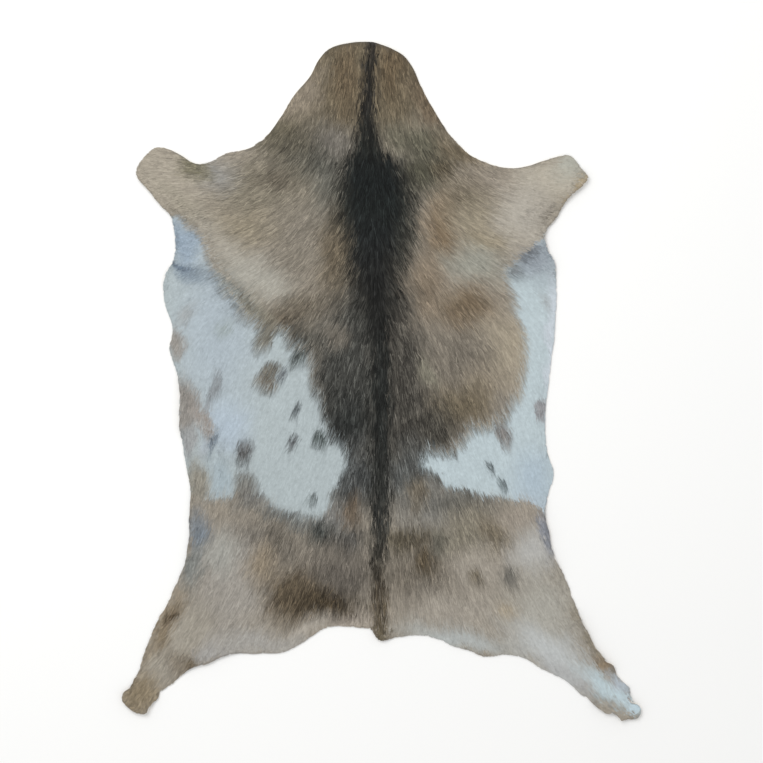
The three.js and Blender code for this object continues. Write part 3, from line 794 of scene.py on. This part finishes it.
def on_skin(places, above):
    """The same places as points this far above the skin's hair side."""
    heights = np.zeros(len(places))
    for number, (x, y) in enumerate(places):
        hit = skin_surface.ray_cast((x, y, WELL_ABOVE), (0, 0, -1))[0]
        if hit is None:
            hit = skin_surface.find_nearest((x, y, SKIN_THICKNESS))[0]
        heights[number] = hit.z
    return np.column_stack((places, heights + above))


def uneven(count, low, high):
    """This many random numbers between two others."""
    return chance.uniform(low, high, count)


def either_side(count, width):
    """This many random places across a width, as a column, with its middle at 0."""
    return width * uneven(count, -0.5, 0.5)[:, None]


# The locks: where each is rooted, and how it lies
reach_x = np.arange(cad_box[0].x, cad_box[1].x, LOCK_SPACING)
reach_y = np.arange(cad_box[0].y, cad_box[1].y, LOCK_SPACING)
lock_at = np.stack(np.meshgrid(reach_x, reach_y), axis=-1).reshape(-1, 2)
lock_at = lock_at + LOCK_SPACING * chance.uniform(-0.5, 0.5, lock_at.shape)
lock_at = lock_at[depth_inside(lock_at) > -LOCK_SPREAD]
locks = len(lock_at)
lock_angle = lay_angle(lock_at) + chance.normal(0, LOCK_TURN, locks)
lock_tone = chance.normal(0, 1, locks).clip(-MOST_TONE, MOST_TONE)
lock_mingled = chance.normal(0, DARK_MINGLES, lock_at.shape)
lock_length = uneven(locks, *LOCK_LENGTHS)

# A hair's four faces, by the numbers of its root, the two corners at its bulge, and its tip
HAIR_FACES = np.array(((0, 1, 2), (2, 1, 3), (1, 0, 3), (0, 2, 3)))
CORNERS_ALONG = (0, BULGE_AT, BULGE_AT, 1)

# The same faces unfolded as a strip, in a square of the hair's own with a gap around it
STRIP = np.array(((0.0, 0), (0.4, 0), (0.2, 1), (0.2, 1), (0.4, 0), (0.6, 1),
                  (0.4, 0), (0.8, 0), (0.6, 1), (0.8, 0), (1.0, 1), (0.6, 1)))
STRIP_GAP = 0.08


def hair_mesh(name, corners, coats, tones):
    """One mesh of many closed hairs, from each one's corners, their colours and its tone."""
    count = len(tones)
    faces = len(CORNERS_ALONG) * np.arange(count)[:, None, None] + HAIR_FACES
    mesh = bpy.data.meshes.new(name)
    mesh.vertices.add(len(CORNERS_ALONG) * count)
    mesh.vertices.foreach_set("co", corners.astype(np.float32).ravel())
    mesh.loops.add(faces.size)
    mesh.loops.foreach_set("vertex_index", faces.astype(np.int32).ravel())
    mesh.polygons.add(len(HAIR_FACES) * count)
    mesh.polygons.foreach_set("loop_start", np.arange(0, faces.size, 3, dtype=np.int32))
    mesh.update(calc_edges=True)
    hold(mesh, "tone", np.repeat(tones, len(CORNERS_ALONG)))
    hold(mesh, "along", np.tile(CORNERS_ALONG, count))
    hold(mesh, "coat", coats)
    rows = math.ceil(math.sqrt(count))
    squares = np.stack((np.arange(count) % rows, np.arange(count) // rows), axis=1)
    unfolded = (squares[:, None, :] + STRIP_GAP + (1 - 2 * STRIP_GAP) * STRIP) / rows
    layer = mesh.uv_layers.new(name="OFBake")
    layer.data.foreach_set("uv", unfolded.astype(np.float32).ravel())
    mesh.shade_flat()
    return mesh


# Goat hair: each hair has its own tone, and all but pale hair is darker at the root. A hair this thin has
# no leaning faces to see, so most of its light falls on it as on the lying coat.
ROOT_DARKENS = 0.25
ROOT_ENDS = 0.5  # of the hair's length
PALE_HAIR = (0.35, 0.60)  # the brightness between which roots stop being darker
STREAK_SIZE = 0.004
STREAK_SHADES = (0.85, 1.15)
HAIR_ROUGHNESS = (0.55, 0.75)
HAIR_GLOSS = 0.12
LOOKS_UP = 0.75  # the share of its light that does
STRAIGHT_UP = (0, 0, 1)

hair_finish, wires, place = start_material("goat_hair")
coat = wires.attribute("coat", "Color")
streak = place.speckle(STREAK_SIZE)
dark_hair = 1 - wires.node("ShaderNodeRGBToBW", {}, {"Color": coat}).between(*PALE_HAIR)
near_root = 1 - wires.attribute("along").between(0, ROOT_ENDS)
shade = (1 - ROOT_DARKENS * dark_hair * near_root) * wires.attribute("tone") * streak.spread(*STREAK_SHADES)
turned = {"vector_type": "NORMAL", "convert_from": "OBJECT", "convert_to": "WORLD"}
upright = wires.node("ShaderNodeVectorTransform", turned, {"Vector": STRAIGHT_UP})
facet = wires.node("ShaderNodeNewGeometry", {}, {}, "Normal")
rounded = wires.node("ShaderNodeMix", {"data_type": "VECTOR"}, {0: LOOKS_UP, 4: facet, 5: upright}, 1)
finish_material(wires, Base_Color=coat.times(shade), Roughness=streak.spread(*HAIR_ROUGHNESS),
                Specular_IOR_Level=HAIR_GLOSS, Normal=rounded)

for name, length_share, lowest, highest, width in COAT_LAYERS:
    # The root of each hair, within its lock
    lock = np.repeat(np.arange(locks), HAIRS_PER_LOCK)
    angle = lock_angle[lock] + chance.normal(0, HAIR_TURN, len(lock))
    middle_step = pointing(lock_angle[lock])
    side_step = middle_step[:, ::-1] * (-1, 1)
    sideways = either_side(len(lock), LOCK_SPREAD) * side_step
    root = lock_at[lock] + sideways + either_side(len(lock), LOCK_REACH) * middle_step
    depth = depth_inside(root)
    kept = depth > 0
    lock, angle, root, sideways, depth = (each[kept] for each in (lock, angle, root, sideways, depth))

    # Its tip, drawn towards the lock's, and cut off at the trimmed edge
    fullness = soft_step(depth / HAIR_DEEPENS_OVER)
    length = BODY_HAIR * length_share * lock_length[lock] * uneven(len(lock), *HAIR_LENGTHS)
    length *= (EDGE_SHARE + (1 - EDGE_SHARE) * fullness) * short_hair(root)
    tip = root + length[:, None] * pointing(angle) - TIPS_TOGETHER * sideways
    allowed = EDGE_HAIR * uneven(len(lock), *PAST_EDGE)
    tip_depth = depth_inside(tip)
    past = tip_depth < -allowed
    shorter = np.ones(len(lock))
    shorter[past] = (depth + allowed)[past] / (depth - tip_depth)[past]
    tip = root + shorter[:, None] * (tip - root)
    bulge = root + BULGE_AT * (tip - root)

    # The colours at its root, its bulge and its tip
    stray = chance.normal(0, WHITE_MINGLES, root.shape)
    own, brightness = unlit(coat_colour(bulge + stray, lock_mingled[lock]))
    theirs = [unlit(coat_colour(end + stray, lock_mingled[lock]))[0] for end in (root, tip)]
    root_coat, tip_coat = (own + PLACE_SHARE * (colours - own) for colours in theirs)
    coats = np.stack((root_coat, own, own, tip_coat), axis=1)

    # How wide it is, and how high it stands over the wool
    sleek = follow(SLEEK, brightness)
    widths = width * follow(WIDER, brightness) * uneven(len(lock), *HAIR_WIDTHS)
    heights = sleek * uneven(len(lock), lowest, highest) * (LOWEST_BULGE + (1 - LOWEST_BULGE) * fullness)
    heights *= CUT_SHORT + (1 - CUT_SHORT) * shorter
    spine = on_skin(bulge, heights)
    end = on_skin(tip, TIP_HEIGHT * heights)
    buried = on_skin((bulge + tip) / 2, LEAST_CLEAR * heights)[:, 2] - (spine + end)[:, 2] / 2
    spine[:, 2] += np.maximum(buried, 0)
    end[:, 2] += np.maximum(buried, 0)
    ahead = (tip - root) / np.linalg.norm(tip - root, axis=1)[:, None]
    across = np.column_stack((-ahead[:, 1], ahead[:, 0], sleek * uneven(len(lock), -ROLL, ROLL)))
    half = 0.5 * widths[:, None] * across
    corners = np.stack((on_skin(root, 0), spine - half, spine + half, end), axis=1)

    # Its own tone
    contrast = follow(STREAKS, brightness)
    differing = LOCK_SHOWS * lock_tone[lock] + HAIR_SHOWS * uneven(len(lock), -MOST_TONE, MOST_TONE)
    tones = np.exp(contrast * (differing - MEAN_TONE * contrast))

    piece = bpy.data.objects.new(name, hair_mesh(name, corners, coats, tones))
    piece.data.materials.append(hair_finish)
    bpy.context.scene.collection.objects.link(piece)
    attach(piece, "root")

# The floor and the light
# A plain near-white studio floor. Soft light falls on it from all around, and a little more from a broad
# lamp high up at the top left.
FLOOR_SIDE = 6.0
FLOOR_GAP = 0.0002
FLOOR_WHITE = (0.87, 0.87, 0.86, 1)
FLOOR_ROUGHNESS = 0.9
FLOOR_GLOSS = 0.1
SKY_WHITE = (1, 1, 1, 1)
SKY_STRENGTH = 0.85
LAMP_POWER = 31
LAMP_SIDE = 1.4
LAMP_PLACE = (-1.0, 1.3, 2.0)

floor_mesh = bmesh.new()
bmesh.ops.create_grid(floor_mesh, x_segments=1, y_segments=1, size=FLOOR_SIDE / 2)
bmesh.ops.translate(floor_mesh, verts=floor_mesh.verts, vec=(0, 0, -FLOOR_GAP))
floor = bpy.data.objects.new("floor", bpy.data.meshes.new("floor"))
floor_mesh.to_mesh(floor.data)
floor_mesh.free()
floor_finish, wires, _ = start_material("floor")
finish_material(wires, Base_Color=FLOOR_WHITE, Roughness=FLOOR_ROUGHNESS, Specular_IOR_Level=FLOOR_GLOSS)
floor.data.materials.append(floor_finish)
bpy.context.scene.collection.objects.link(floor)

sky = bpy.data.worlds.new("studio")
sky.use_nodes = True
backdrop = sky.node_tree.nodes["Background"]
backdrop.inputs["Color"].default_value = SKY_WHITE
backdrop.inputs["Strength"].default_value = SKY_STRENGTH
bpy.context.scene.world = sky

lamp = bpy.data.lights.new("softbox", "AREA")
lamp.size = LAMP_SIDE
lamp.energy = LAMP_POWER
softbox = bpy.data.objects.new("softbox", lamp)
softbox.location = LAMP_PLACE
softbox.rotation_euler = (-softbox.location).to_track_quat("-Z", "Y").to_euler()
bpy.context.scene.collection.objects.link(softbox)
bpy.context.scene.view_settings.view_transform = "Standard"
